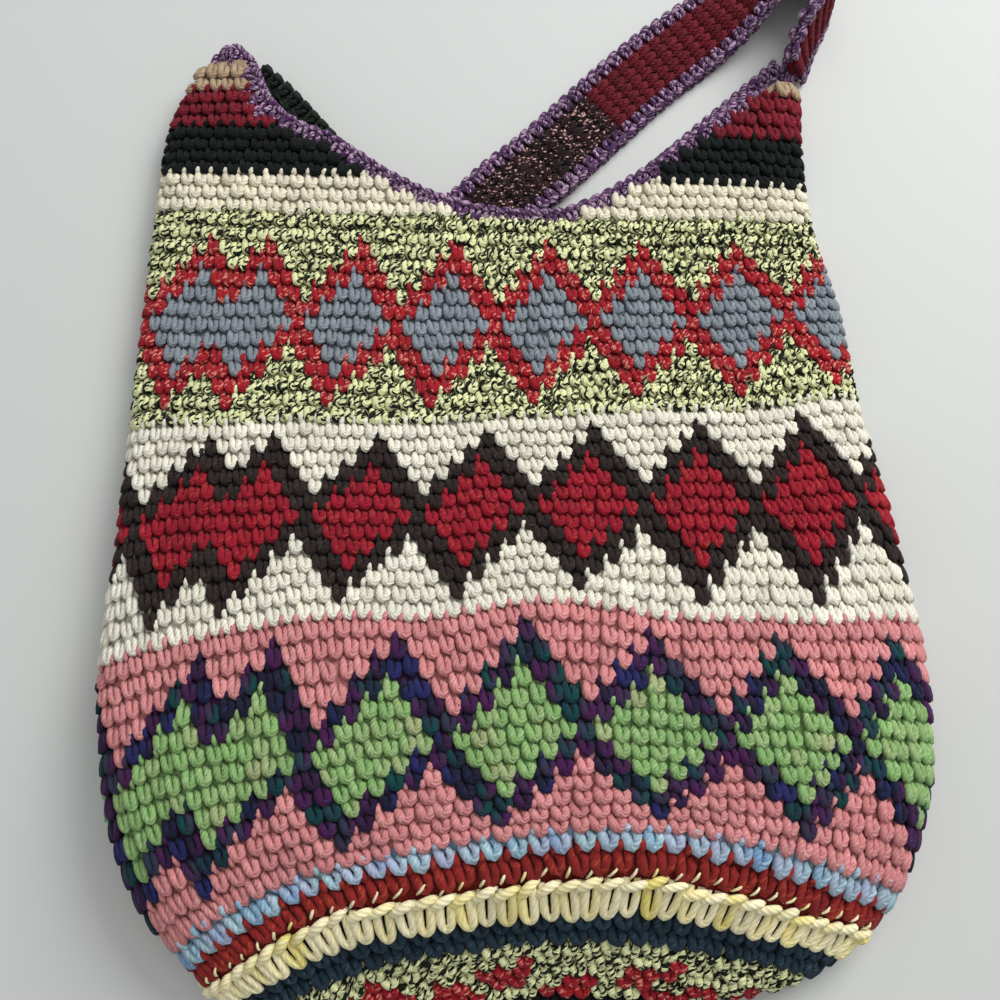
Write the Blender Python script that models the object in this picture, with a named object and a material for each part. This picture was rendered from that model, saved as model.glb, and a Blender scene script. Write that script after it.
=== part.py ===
"""A crocheted mochila bag lying on its back: the body with its two ears, the mouth edgings and the strap.

X runs across the bag, Y from the round base to the mouth, Z up from the table.
Sizes are in millimetres until the meshes are written in metres.
"""
import math
from collections import namedtuple

import bmesh
import bpy
from mathutils import Vector

MM = 0.001

# Cloth and yarn
WALL = 3.8
FOLDED_WALL = 2.0
ROW_RIDGE = 0.6
GAP = 0.3

# Edging round the mouth
EDGING_WIDTH = 6.4
EDGING_THICK = 5.0
EDGING_STITCH = 5.6
EDGING_BUMP = 0.4

# Strap
STRAP_WIDTH = 32.0
STRAP_THICK = 3.4
STRAP_HEM = 4.4
STRAP_HEM_SHARE = 0.62
STRAP_ROW = 5.6
STRAP_RIDGE = 0.35

# Height of the flattened mouth: two walls, the strap between them and room to spare
MOUTH_ROOM = 6.4
MOUTH_HEIGHT = 2 * WALL + STRAP_THICK + MOUTH_ROOM
FOLD_HEIGHT = MOUTH_HEIGHT / 2

# Rows of crochet, counted from the top of the ears
TOP_ROW = -1
SPECKLE_ROW = 12
WHITE_ROW = 26
PINK_ROW = 39
BLUE_ROW = 52
RED_ROW = 53
BASE_ROW = 54
NAVY_ROW = 55
BASE_SPECKLE_ROW = 57
BLACK_ROW = 62
BASE_FOLD_ROW = 62
LAST_ROW = 69

# How high the belly stands and where the round base turns under
BELLY_HEIGHT = 50.0
FOOT_HEIGHT = 5.5
FOOT_Y = -190.0
BASE_CENTRE_Y = -170.0
BACK_MOUTH_Y = 108.0
BACK_BASE_Y = -85.0
BACK_ROW = (BACK_MOUTH_Y - BACK_BASE_Y) / (BASE_ROW - SPECKLE_ROW)

# Facets: round the bag, and where the flat of the back starts
FACETS = 28
FOLD_CROWDING = 0.85
BACK_FLAT = 0.6

# Each station is one round of crochet: its two side folds, the middle of its front and of its back
Station = namedtuple("Station", "row left_x left_y right_x right_y front_y front_z back_y side_z")


def back_y(row):
    """Rows of the back lie evenly on the table, first the wall's and then the base's."""
    if row <= BASE_ROW:
        return BACK_MOUTH_Y - (row - SPECKLE_ROW) * BACK_ROW
    share = (row - BASE_ROW) / (LAST_ROW - BASE_ROW)
    return BACK_BASE_Y + (BASE_CENTRE_Y - BACK_BASE_Y) * share


def station(row, left, right, front, side_z):
    """One station, from its left fold, right fold and front middle."""
    return Station(row, left[0], left[1], right[0], right[1], front[0], front[1], back_y(row), side_z)


STATIONS = [
    station(TOP_ROW, (-109, 191), (130, 173), (178, MOUTH_HEIGHT), FOLD_HEIGHT),
    station(2, (-117.5, 173), (129, 155), (162, MOUTH_HEIGHT), FOLD_HEIGHT),
    station(5, (-124.5, 157.5), (127.5, 136), (146, MOUTH_HEIGHT), FOLD_HEIGHT),
    station(SPECKLE_ROW, (-129.5, 122), (128, 101), (108.6, MOUTH_HEIGHT + 0.6), FOLD_HEIGHT + 0.5),
    station(19, (-134.5, 78), (134.5, 65), (65.5, 22), 10),
    station(WHITE_ROW, (-138.5, 32.5), (137.5, 26.7), (24.3, 29), 12),
    station(33, (-142.5, -12), (143, -16.5), (-14, 36), 15),
    station(PINK_ROW, (-147, -57.5), (147.5, -59), (-48.6, 43), 18),
    station(43, (-145.5, -88), (147.3, -87), (-75, 48.5), 20),
    station(47, (-141, -118.5), (144, -115), (-98.5, BELLY_HEIGHT), 20),
    station(50, (-130.5, -143.5), (137, -136), (-114, BELLY_HEIGHT - 1), 18),
    station(BLUE_ROW, (-119.5, -157.5), (130, -150), (-123, 47), 15.5),
    station(BASE_ROW, (-110, -169), (119, -162), (-138.5, 39), 12),
    station(NAVY_ROW, (-104, -174), (111, -168.5), (-149, 32), 10.5),
    station(BASE_SPECKLE_ROW, (-92, -179), (98, -177), (-159, 25), 9),
    station(60, (-72, -183), (76, -182.5), (-170, 18.5), 8),
    station(BLACK_ROW, (-57, -184.5), (59, -184.5), (-178, 14), 7),
    station(64, (-42, -184), (43, -184), (-187, 9), 6),
    station(65, (-34, -183), (35, -183), (FOOT_Y, FOOT_HEIGHT), FOOT_HEIGHT - 1),
    station(66, (-26, -180.5), (27, -180.5), (-187, 1), 1),
    station(67, (-18, -177), (19, -177), (-181, 0), 0),
    station(LAST_ROW, (-2, BASE_CENTRE_Y), (2, BASE_CENTRE_Y), (BASE_CENTRE_Y - 2, 0), 0),
]

# Middle line of the edging on the front wall, from the left ear's tip over the dip to the right ear
FRONT_MOUTH = [
    (-109, 184.5), (-103, 190.3), (-95, 188), (-86.5, 167), (-76, 155), (-60, 146), (-38, 129),
    (-18, 117.5), (4, 110.3), (28, 108), (42, 112), (60, 121), (88, 140), (108, 154.5), (122, 164.3),
]
# The same on the back wall, which stands a little higher towards the right ear
BACK_MOUTH = [
    (-108, 183), (-102, 188.3), (-95, 186), (-85, 166), (-74, 154), (-58, 144.5), (-36, 128),
    (-16, 116.5), (4, 110), (28, 109), (42, 114), (60, 124.5), (86, 144.5), (104, 158.5), (114, 166.5),
]
CUT_SIDE = 170.0
CUT_TOP = 260.0
LEFT_CUT_Y = 181.0
RIGHT_CUT_Y = 166.8

# The strap's middle line: place, height of its underside, how far it stands on edge, share of its width
Way = namedtuple("Way", "x y lift roll share")
IN_MOUTH = WALL + 0.5
OVER_EDGING = EDGING_THICK + 0.7
ON_TABLE = STRAP_RIDGE + 0.25
STRAP_ROUTE = [
    Way(-92.5, 181, IN_MOUTH + 0.4, -10, 0.5),
    Way(-85.5, 168, IN_MOUTH + 0.3, -8, 0.75),
    Way(-74, 147, IN_MOUTH + 0.2, -6, 1),
    Way(-61, 130, IN_MOUTH + 0.3, -6, 1),
    Way(-46, 113, IN_MOUTH + 0.3, -5, 1),
    Way(-27.5, 104, IN_MOUTH + 0.4, -5, 1),
    Way(-8, 109, IN_MOUTH + 1.1, -3, 1),
    Way(3, 117.5, OVER_EDGING, 0, 1),
    Way(12, 125.5, OVER_EDGING, 0, 1),
    Way(23, 135, 2.6, 0, 1),
    Way(35.5, 146, ON_TABLE + 0.4, 0, 1),
    Way(50, 158.5, ON_TABLE, 0, 1),
    Way(66, 172.2, ON_TABLE, 0, 1),
    Way(84, 185.3, ON_TABLE, 0, 1),
    Way(102, 197, ON_TABLE, 12, 1),
    Way(116, 205.5, ON_TABLE, 36, 1),
    Way(129, 211.5, ON_TABLE, 62, 1),
    Way(141, 210.5, ON_TABLE, 77, 1),
    Way(145.5, 200.5, ON_TABLE, 82, 1),
    Way(141, 190.5, ON_TABLE, 80, 1),
    Way(135, 181.5, ON_TABLE, 75, 0.92),
    Way(131, 174, ON_TABLE + 0.2, 66, 0.7),
    Way(129.2, 167.4, ON_TABLE + 0.4, 62, 0.5),
]


def spline(knots, values, at):
    """A smooth curve through the values, read at one place among the knots."""
    last = len(knots) - 2
    i = min(max(sum(1 for knot in knots if knot <= at) - 1, 0), last)
    before = max(i - 1, 0)
    after = min(i + 2, last + 1)
    span = knots[i + 1] - knots[i]
    t = (at - knots[i]) / span
    slope_in = (values[i + 1] - values[before]) / (knots[i + 1] - knots[before])
    slope_out = (values[after] - values[i]) / (knots[after] - knots[i])
    start = values[i] * (2 * t ** 3 - 3 * t ** 2 + 1) + slope_in * span * (t ** 3 - 2 * t ** 2 + t)
    return start + values[i + 1] * (3 * t ** 2 - 2 * t ** 3) + slope_out * span * (t ** 3 - t ** 2)


def round_at(row):
    """The round of crochet at any height of the bag, between the stations."""
    rows = [one.row for one in STATIONS]
    values = [spline(rows, [one[k] for one in STATIONS], row) for k in range(1, len(Station._fields))]
    return Station(row, *values)


def bag_point(ring, angle):
    """A place on the smooth outside: angle 0 is the right fold, a quarter turn the front's middle."""
    across, up = math.cos(angle), math.sin(angle)
    rise = abs(up)
    late = min(max((ring.row - BLACK_ROW) / (LAST_ROW - BLACK_ROW), 0), 1)
    bow = rise ** (2 - late)
    side_y = (ring.left_y + ring.right_y) / 2
    middle_y = ring.front_y if up >= 0 else ring.back_y
    x = (ring.left_x + ring.right_x) / 2 + (ring.right_x - ring.left_x) / 2 * across
    y = side_y + (ring.right_y - ring.left_y) / 2 * across + (middle_y - side_y) * bow
    belly = min(max((ring.row - SPECKLE_ROW) / (PINK_ROW - SPECKLE_ROW), 0), 1)
    if up >= 0:
        z = ring.side_z + (ring.front_z - ring.side_z) * rise ** (0.6 + 0.35 * belly)
    else:
        z = ring.side_z * (1 - min(rise / BACK_FLAT, 1)) ** 3
    return Vector((x, y, max(z, 0)))


def bag_normal(row, angle):
    """The way the outside faces at one place."""
    step_row, step_angle = 0.05, 0.02
    row = min(max(row, TOP_ROW + step_row), LAST_ROW - 2 * step_row)
    along = bag_point(round_at(row + step_row), angle) - bag_point(round_at(row - step_row), angle)
    ring = round_at(row)
    around = bag_point(ring, angle + step_angle) - bag_point(ring, angle - step_angle)
    return around.cross(along).normalized()


def facet_angles(ring):
    """Angles of the facets' corners: even along the cloth, closer together at the side folds."""
    angles = []
    half = FACETS // 2
    for start in (0, math.pi):
        samples = [start + math.pi * k / 120 for k in range(121)]
        places = [bag_point(ring, angle) for angle in samples]
        run = [0]
        for a, b in zip(places, places[1:]):
            run.append(run[-1] + (b - a).length)
        for k in range(half):
            even = k / half
            crowded = (1 - math.cos(math.pi * even)) / 2
            share = even + (crowded - even) * FOLD_CROWDING
            angles.append(spline(run, samples, share * run[-1]))
    return angles


def ring_places(row, depth, ridge):
    """The corners of one round: depth goes into the cloth and ridge raises a row out of it."""
    ring = round_at(row)
    places = []
    for angle in facet_angles(ring):
        normal = bag_normal(row, angle)
        upward = min(1, 1 + normal.z)
        place = bag_point(ring, angle) + normal * (ridge * upward - depth)
        places.append(Vector((place.x, place.y, max(place.z, 0))))
    return places


def mesh_object(name, bm, colour, roughness=0.95):
    """Makes the object of one sub-part, in metres, with its own material."""
    bmesh.ops.recalc_face_normals(bm, faces=bm.faces)
    bmesh.ops.scale(bm, vec=(MM, MM, MM), verts=bm.verts)
    mesh = bpy.data.meshes.new(name)
    bm.to_mesh(mesh)
    bm.free()
    obj = bpy.data.objects.new(name, mesh)
    bpy.context.collection.objects.link(obj)
    mesh.materials.append(yarn_material(name + "_yarn", colour, roughness))
    return obj


def yarn_material(name, colour, roughness=0.95):
    """Plain yarn of one colour."""
    material = bpy.data.materials.new(name)
    material.use_nodes = True
    shader = material.node_tree.nodes["Principled BSDF"]
    shader.inputs["Base Color"].default_value = (*colour, 1)
    shader.inputs["Roughness"].default_value = roughness
    shader.inputs["Metallic"].default_value = 0
    return material


def skin(bm, rings):
    """Joins rings of as many places each with faces, and gives back the rings of corners."""
    corners = [[bm.verts.new(place) for place in ring] for ring in rings]
    count = len(rings[0])
    for ring, following in zip(corners, corners[1:]):
        for k in range(count):
            after = (k + 1) % count
            bm.faces.new((ring[k], ring[after], following[after], following[k]))
    return corners


CREAM = (0.76, 0.72, 0.53)
BLACK = (0.012, 0.018, 0.016)
WINE = (0.20, 0.014, 0.027)
TAN = (0.48, 0.38, 0.21)
LEAF = (0.30, 0.38, 0.15)
WHITE = (0.67, 0.65, 0.55)
PINK = (0.62, 0.22, 0.24)
BLUE = (0.26, 0.37, 0.55)
RED = (0.33, 0.025, 0.02)
YELLOW = (0.76, 0.69, 0.39)
NAVY = (0.011, 0.023, 0.05)
PURPLE = (0.10, 0.045, 0.15)
# Rows from each number on have this yarn
STRIPES = [
    (TOP_ROW, TAN), (2, WINE), (5, BLACK), (9, CREAM), (SPECKLE_ROW, LEAF), (WHITE_ROW, WHITE), (PINK_ROW, PINK),
    (BLUE_ROW, BLUE), (RED_ROW, RED), (BASE_ROW, YELLOW), (NAVY_ROW, NAVY), (BASE_SPECKLE_ROW, LEAF), (BLACK_ROW, BLACK),
]


def bag_body():
    """The body worked in rounds from the centre of the base to the tips of the ears, open at the mouth."""
    bm = bmesh.new()
    outer_rows = [TOP_ROW + k / 2 for k in range(2 * (LAST_ROW - TOP_ROW) + 1)]
    outer = skin(bm, [ring_places(row, 0, ROW_RIDGE if row % 1 else -ROW_RIDGE) for row in outer_rows])
    inner_rows = [row for row in range(TOP_ROW, BASE_ROW, 3)] + [row for row in range(BASE_ROW, LAST_ROW, 2)]
    inner = skin(bm, [ring_places(row, WALL if row < BASE_FOLD_ROW else FOLDED_WALL, 0) for row in inner_rows])
    for k in range(FACETS):
        after = (k + 1) % FACETS
        bm.faces.new((outer[0][k], outer[0][after], inner[0][after], inner[0][k]))
    bm.faces.new(outer[-1])
    bm.faces.new(inner[-1])
    body = mesh_object("bag_body", bm, CREAM)
    for index, (row, colour) in enumerate(STRIPES):
        body.data.materials.append(yarn_material("body_yarn_%d" % index, colour))
    for index, face in enumerate(body.data.polygons):
        row = outer_rows[index // FACETS] if index < FACETS * (len(outer_rows) - 1) else SPECKLE_ROW
        face.material_index = sum(1 for first, colour in STRIPES if first <= row)
    for name, line, low, high in (
            ("front_mouth_cut", FRONT_MOUTH, FOLD_HEIGHT - GAP, 2 * BELLY_HEIGHT),
            ("back_mouth_cut", BACK_MOUTH, -BELLY_HEIGHT, FOLD_HEIGHT + GAP)):
        cutter = mouth_cutter(name, line, low, high)
        cut = body.modifiers.new(name, "BOOLEAN")
        cut.operation = "DIFFERENCE"
        cut.solver = "EXACT"
        cut.object = cutter
    return body


def smooth_line(points, step):
    """Places about one step apart on a smooth curve through the points."""
    points = [Vector(point) for point in points]
    knots = [0]
    for a, b in zip(points, points[1:]):
        knots.append(knots[-1] + (b - a).length)
    count = max(2, round(knots[-1] / step))
    size = len(points[0])
    line = []
    for k in range(count + 1):
        at = min(knots[-1] * k / count, knots[-1] - 1e-6)
        line.append(Vector([spline(knots, [point[axis] for point in points], at) for axis in range(size)]))
    return line


def headings(line):
    """The way a line runs at each of its places."""
    ways = []
    for k in range(len(line)):
        ways.append((line[min(k + 1, len(line) - 1)] - line[max(k - 1, 0)]).normalized())
    return ways


def mouth_cutter(name, line, low, high):
    """The block cut away between the ears, whose lower edge follows the edging's inner side."""
    inset = EDGING_WIDTH / 2 + GAP
    edge = smooth_line(line, 4.0)
    outline = [(-CUT_SIDE, LEFT_CUT_Y)]
    for place, way in zip(edge, headings(edge)):
        outline.append((place.x + way.y * inset, place.y - way.x * inset))
    outline += [(CUT_SIDE, RIGHT_CUT_Y), (CUT_SIDE, CUT_TOP), (-CUT_SIDE, CUT_TOP)]
    bm = bmesh.new()
    floor = bm.faces.new([bm.verts.new((x, y, low)) for x, y in outline])
    top = bmesh.ops.extrude_face_region(bm, geom=[floor])
    raised = [item for item in top["geom"] if isinstance(item, bmesh.types.BMVert)]
    bmesh.ops.translate(bm, vec=(0, 0, high - low), verts=raised)
    cutter = mesh_object(name, bm, WHITE)
    cutter.hide_render = True
    cutter.display_type = "WIRE"
    return cutter


def front_height(x, y):
    """Height of the front's outside over one place of the table."""
    low, high = TOP_ROW, BASE_ROW
    for step in range(40):
        row = (low + high) / 2
        ring = round_at(row)
        across = (x - (ring.left_x + ring.right_x) / 2) / ((ring.right_x - ring.left_x) / 2)
        place = bag_point(ring, math.acos(min(max(across, -1), 1)))
        if place.y > y:
            low = row
        else:
            high = row
    return place.z


def edging(name, line, height):
    """One round of edging along a mouth edge: a bumpy ridge, one bump for each stitch."""
    half_step = EDGING_STITCH / 2
    places = smooth_line(line, half_step)
    rings = []
    for k, (place, way) in enumerate(zip(places, headings(places))):
        bump = EDGING_BUMP if k % 2 else -EDGING_BUMP
        half_width = EDGING_WIDTH / 2 - EDGING_BUMP + bump
        half_thick = EDGING_THICK / 2 - EDGING_BUMP + bump
        across = Vector((-way.y, way.x, 0))
        centre = Vector((place.x, place.y, height(place.x, place.y)))
        ring = []
        for corner in range(8):
            angle = math.tau * (corner + 0.5) / 8
            side, up = math.cos(angle), math.sin(angle)
            square = 1 / max(abs(side), abs(up)) ** 0.5
            ring.append(centre + across * (half_width * side * square) + Vector((0, 0, half_thick * up * square)))
        rings.append(ring)
    bm = bmesh.new()
    corners = skin(bm, rings)
    bm.faces.new(corners[0])
    bm.faces.new(corners[-1])
    return mesh_object(name, bm, PURPLE)


def strap():
    """The strap, from inside the left ear through the mouth, out over the table and back to the right ear."""
    half = STRAP_WIDTH / 2
    line = smooth_line([(way.x, way.y, 0) for way in STRAP_ROUTE], STRAP_ROW / 2)
    knots = [0]
    for a, b in zip(STRAP_ROUTE, STRAP_ROUTE[1:]):
        knots.append(knots[-1] + math.hypot(b.x - a.x, b.y - a.y))
    section = [(1, 0), (0.86, 1), (STRAP_HEM_SHARE, 1), (0, 1), (-STRAP_HEM_SHARE, 1), (-0.86, 1),
               (-1, 0), (-0.86, -1), (-STRAP_HEM_SHARE, -1), (0, -1), (STRAP_HEM_SHARE, -1), (0.86, -1)]
    rings = []
    for k, (place, way) in enumerate(zip(line, headings(line))):
        at = knots[-1] * k / (len(line) - 1)
        lift, roll, share = [spline(knots, [getattr(one, field) for one in STRAP_ROUTE], min(at, knots[-1] - 1e-6))
                             for field in ("lift", "roll", "share")]
        roll = math.radians(roll)
        width = half * share
        centre = place + Vector((0, 0, lift + width * abs(math.sin(roll)) + STRAP_HEM / 2 * math.cos(roll)))
        left = Vector((-way.y, way.x, 0)) * math.cos(roll) - Vector((0, 0, math.sin(roll)))
        up = way.cross(left)
        ridge = STRAP_RIDGE if k % 2 else -STRAP_RIDGE
        ring = []
        for side, over in section:
            thick = STRAP_HEM if abs(side) > STRAP_HEM_SHARE else STRAP_THICK
            ring.append(centre + left * (side * width) + up * (over * (thick / 2 + ridge)))
        rings.append(ring)
    bm = bmesh.new()
    corners = skin(bm, rings)
    bm.faces.new(corners[0])
    bm.faces.new(corners[-1])
    # The strap twists, so its faces are cut into flat triangles here
    bmesh.ops.triangulate(bm, faces=bm.faces)
    return mesh_object("strap", bm, WINE)


def stand_on_origin(parts, others):
    """Parents all to one empty, which puts the middle of the bag's box over the origin, on the table."""
    bpy.context.view_layer.update()
    graph = bpy.context.evaluated_depsgraph_get()
    corners = [Vector(corner) for part in parts for corner in part.evaluated_get(graph).bound_box]
    low = [min(corner[axis] for corner in corners) for axis in range(3)]
    high = [max(corner[axis] for corner in corners) for axis in range(3)]
    origin = bpy.data.objects.new("bag_origin", None)
    bpy.context.collection.objects.link(origin)
    origin.location = (-(low[0] + high[0]) / 2, -(low[1] + high[1]) / 2, -low[2])
    for obj in parts + others:
        obj.parent = origin


def main():
    for obj in list(bpy.data.objects):
        bpy.data.objects.remove(obj, do_unlink=True)
    body = bag_body()
    front = edging("front_edging", FRONT_MOUTH, lambda x, y: front_height(x, y) - WALL / 2)
    back = edging("back_edging", BACK_MOUTH, lambda x, y: EDGING_THICK / 2)
    cutters = [cut.object for cut in body.modifiers]
    stand_on_origin([body, front, back, strap()], cutters)


main()
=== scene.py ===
"""Crocheted mochila bag lying on its back: every stitch is a bent loop of yarn laid along the rounds.

The bag's own sizes are in millimetres, as in its solids, and turn into metres when a mesh is made.
"""
import math
from collections import namedtuple

import bpy
import numpy as np
from bpy.props import FloatProperty, FloatVectorProperty, IntProperty, PointerProperty
from mathutils import Matrix, Vector


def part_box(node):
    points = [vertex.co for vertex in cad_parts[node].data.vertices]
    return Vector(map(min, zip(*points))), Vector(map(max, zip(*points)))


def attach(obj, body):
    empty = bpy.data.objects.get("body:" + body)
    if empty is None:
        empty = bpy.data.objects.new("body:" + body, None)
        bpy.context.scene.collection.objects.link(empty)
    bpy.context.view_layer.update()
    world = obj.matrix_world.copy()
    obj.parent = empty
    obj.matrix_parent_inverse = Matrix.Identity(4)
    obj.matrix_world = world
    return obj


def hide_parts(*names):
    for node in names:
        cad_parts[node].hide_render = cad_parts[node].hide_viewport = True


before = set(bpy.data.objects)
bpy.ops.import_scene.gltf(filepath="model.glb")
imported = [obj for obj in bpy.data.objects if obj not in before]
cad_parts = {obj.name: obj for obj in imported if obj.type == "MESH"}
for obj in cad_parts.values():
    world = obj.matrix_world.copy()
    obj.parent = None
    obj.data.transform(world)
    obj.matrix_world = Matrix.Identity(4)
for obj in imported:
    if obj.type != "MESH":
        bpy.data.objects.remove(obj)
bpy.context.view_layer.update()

bl_info = {
    "name": "Crocheted mochila bag",
    "version": (1, 0, 0),
    "blender": (4, 5, 0),
    "location": "View3D > Sidebar > Bag",
    "description": "Works the yarn of a crocheted shoulder bag stitch by stitch",
    "category": "Add Mesh",
}

MM = 0.001
SEED = 11

# Cloth, mouth and strap, as the solids have them
WALL = 3.8
ROW_RIDGE = 0.6
EDGING_THICK = 5.0
STRAP_WIDTH = 32.0
STRAP_THICK = 3.4
STRAP_HEM = 4.4
STRAP_ROW = 5.6
STRAP_RIDGE = 0.35
MOUTH_ROOM = 6.4
MOUTH_HEIGHT = 2 * WALL + STRAP_THICK + MOUTH_ROOM
FOLD_HEIGHT = MOUTH_HEIGHT / 2

# Rows of crochet, counted from the top of the ears, as the solids have them
TOP_ROW = -1
WINE_ROW = 2
BLACK_EAR_ROW = 5
CREAM_ROW = 9
SPECKLE_ROW = 12
WHITE_ROW = 26
PINK_ROW = 39
BLUE_ROW = 52
BASE_ROW = 54
NAVY_ROW = 55
BASE_SPECKLE_ROW = 57
BLACK_ROW = 62
LAST_ROW = 69

BELLY_HEIGHT = 50.0
FOOT_HEIGHT = 5.5
FOOT_Y = -190.0
BASE_CENTRE_Y = -170.0
BACK_MOUTH_Y = 108.0
BACK_BASE_Y = -85.0
BACK_FLAT = 0.6
# How the front rises from its folds: flat at the mouth, and rounder at the belly
FLAT_FRONT = 0.6
ROUND_BELLY = 0.35

# Diamonds: 11 rows high, 8 stitches apart, with one pair only 5 apart at the left fold
DIAMOND_ROWS = (19, 32, 45)
DIAMOND_MIDDLES = (5, 10, 15)
DIAMOND_REPEAT = 8
DIAMOND_FIRST = -24
DIAMONDS = 14
LEAN = 0.25
LEAN_START = -0.6
# Small red shapes round the base
BASE_PETALS = 8
PETAL_ROW = 60
PETAL_TURN = 0.28

Station = namedtuple("Station", "row left_x left_y right_x right_y front_y front_z back_y side_z")


def back_y(row):
    """Rows of the back lie evenly on the table, first the wall's and then the base's."""
    if row <= BASE_ROW:
        return BACK_MOUTH_Y - (row - SPECKLE_ROW) * (BACK_MOUTH_Y - BACK_BASE_Y) / (BASE_ROW - SPECKLE_ROW)
    return BACK_BASE_Y + (BASE_CENTRE_Y - BACK_BASE_Y) * (row - BASE_ROW) / (LAST_ROW - BASE_ROW)


def station(row, left, right, front, side_z):
    """One round of crochet, from its left fold, right fold and front middle."""
    return Station(row, left[0], left[1], right[0], right[1], front[0], front[1], back_y(row), side_z)


STATIONS = [
    station(TOP_ROW, (-109, 191), (130, 173), (178, MOUTH_HEIGHT), FOLD_HEIGHT),
    station(2, (-117.5, 173), (129, 155), (162, MOUTH_HEIGHT), FOLD_HEIGHT),
    station(5, (-124.5, 157.5), (127.5, 136), (146, MOUTH_HEIGHT), FOLD_HEIGHT),
    station(SPECKLE_ROW, (-129.5, 122), (128, 101), (108.6, MOUTH_HEIGHT + 0.6), FOLD_HEIGHT + 0.5),
    station(19, (-134.5, 78), (134.5, 65), (65.5, 22), 10),
    station(WHITE_ROW, (-138.5, 32.5), (137.5, 26.7), (24.3, 29), 12),
    station(33, (-142.5, -12), (143, -16.5), (-14, 36), 15),
    station(PINK_ROW, (-147, -57.5), (147.5, -59), (-48.6, 43), 18),
    station(43, (-145.5, -88), (147.3, -87), (-75, 48.5), 20),
    station(47, (-141, -118.5), (144, -115), (-98.5, BELLY_HEIGHT), 20),
    station(50, (-130.5, -143.5), (137, -136), (-114, BELLY_HEIGHT - 1), 18),
    station(BLUE_ROW, (-119.5, -157.5), (130, -150), (-123, 47), 15.5),
    station(BASE_ROW, (-110, -169), (119, -162), (-138.5, 39), 12),
    station(NAVY_ROW, (-104, -174), (111, -168.5), (-149, 32), 10.5),
    station(BASE_SPECKLE_ROW, (-92, -179), (98, -177), (-159, 25), 9),
    station(60, (-72, -183), (76, -182.5), (-170, 18.5), 8),
    station(BLACK_ROW, (-57, -184.5), (59, -184.5), (-178, 14), 7),
    station(64, (-42, -184), (43, -184), (-187, 9), 6),
    station(65, (-34, -183), (35, -183), (FOOT_Y, FOOT_HEIGHT), FOOT_HEIGHT - 1),
    station(66, (-26, -180.5), (27, -180.5), (-187, 1), 1),
    station(67, (-18, -177), (19, -177), (-181, 0), 0),
    station(LAST_ROW, (-2, BASE_CENTRE_Y), (2, BASE_CENTRE_Y), (BASE_CENTRE_Y - 2, 0), 0),
]

FRONT_MOUTH = [
    (-109, 184.5), (-103, 190.3), (-95, 188), (-86.5, 167), (-76, 155), (-60, 146), (-38, 129),
    (-18, 117.5), (4, 110.3), (28, 108), (42, 112), (60, 121), (88, 140), (108, 154.5), (122, 164.3),
]
BACK_MOUTH = [
    (-108, 183), (-102, 188.3), (-95, 186), (-85, 166), (-74, 154), (-58, 144.5), (-36, 128),
    (-16, 116.5), (4, 110), (28, 109), (42, 114), (60, 124.5), (86, 144.5), (104, 158.5), (114, 166.5),
]

# Where the front's edging runs on into the strap's raised hem
EAR_END = (127.0, 169.5)
FRONT_RUN_ON = [EAR_END, (129.5, 175.0), (131.5, 181.0)]
BACK_RUN_ON = [(120.5, 171.5), (127.0, 177.0)]
# How high the ears' stitches go, and where the edging turns over the left tip
EAR_TOP = 163.5
LEFT_EAR_TOP = 186.5
LEFT_TIP_X = -82.0

# The strap's middle line: place, height of its underside, how far it stands on edge, share of its width
Way = namedtuple("Way", "x y lift roll share")
IN_MOUTH = WALL + 0.5
OVER_EDGING = EDGING_THICK + 0.7
ON_TABLE = STRAP_RIDGE + 0.25
STRAP_ROUTE = [
    Way(-92.5, 181, IN_MOUTH + 0.4, -10, 0.5),
    Way(-85.5, 168, IN_MOUTH + 0.3, -8, 0.75),
    Way(-74, 147, IN_MOUTH + 0.2, -6, 1),
    Way(-61, 130, IN_MOUTH + 0.3, -6, 1),
    Way(-46, 113, IN_MOUTH + 0.3, -5, 1),
    Way(-27.5, 104, IN_MOUTH + 0.4, -5, 1),
    Way(-8, 109, IN_MOUTH + 1.1, -3, 1),
    Way(3, 117.5, OVER_EDGING, 0, 1),
    Way(12, 125.5, OVER_EDGING, 0, 1),
    Way(23, 135, 2.6, 0, 1),
    Way(35.5, 146, ON_TABLE + 0.4, 0, 1),
    Way(50, 158.5, ON_TABLE, 0, 1),
    Way(66, 172.2, ON_TABLE, 0, 1),
    Way(84, 185.3, ON_TABLE, 0, 1),
    Way(102, 197, ON_TABLE, 12, 1),
    Way(116, 205.5, ON_TABLE, 36, 1),
    Way(129, 211.5, ON_TABLE, 62, 1),
    Way(141, 210.5, ON_TABLE, 77, 1),
    Way(145.5, 200.5, ON_TABLE, 82, 1),
    Way(141, 190.5, ON_TABLE, 80, 1),
    Way(135, 181.5, ON_TABLE, 75, 0.92),
    Way(131, 174, ON_TABLE + 0.2, 66, 0.7),
    Way(129.2, 167.4, ON_TABLE + 0.4, 62, 0.5),
]

# How many stitches each row has. The front holds a little more than half of them down to the lower band,
# and below it the belly stretches its middle
EAR_STITCHES = 94
WALL_STITCHES = 109
BASE_STITCHES = 90
BASE_DECREASE = 6
FRONT_SHARE = [(TOP_ROW, 0.5), (11, 0.5), (12, 0.541), (26, 0.541), (38, 0.53), (43, 0.5), (LAST_ROW, 0.5)]
STRETCH = [(TOP_ROW, 0.0), (43, 0.0), (45, 0.05), (50, 0.24), (56, 0.28), (62, 0.1), (LAST_ROW, 0.0)]

# The hand of the maker: rows that wander and cloth that puckers a little
WANDER = 0.22
PUCKER = 0.42
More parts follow.
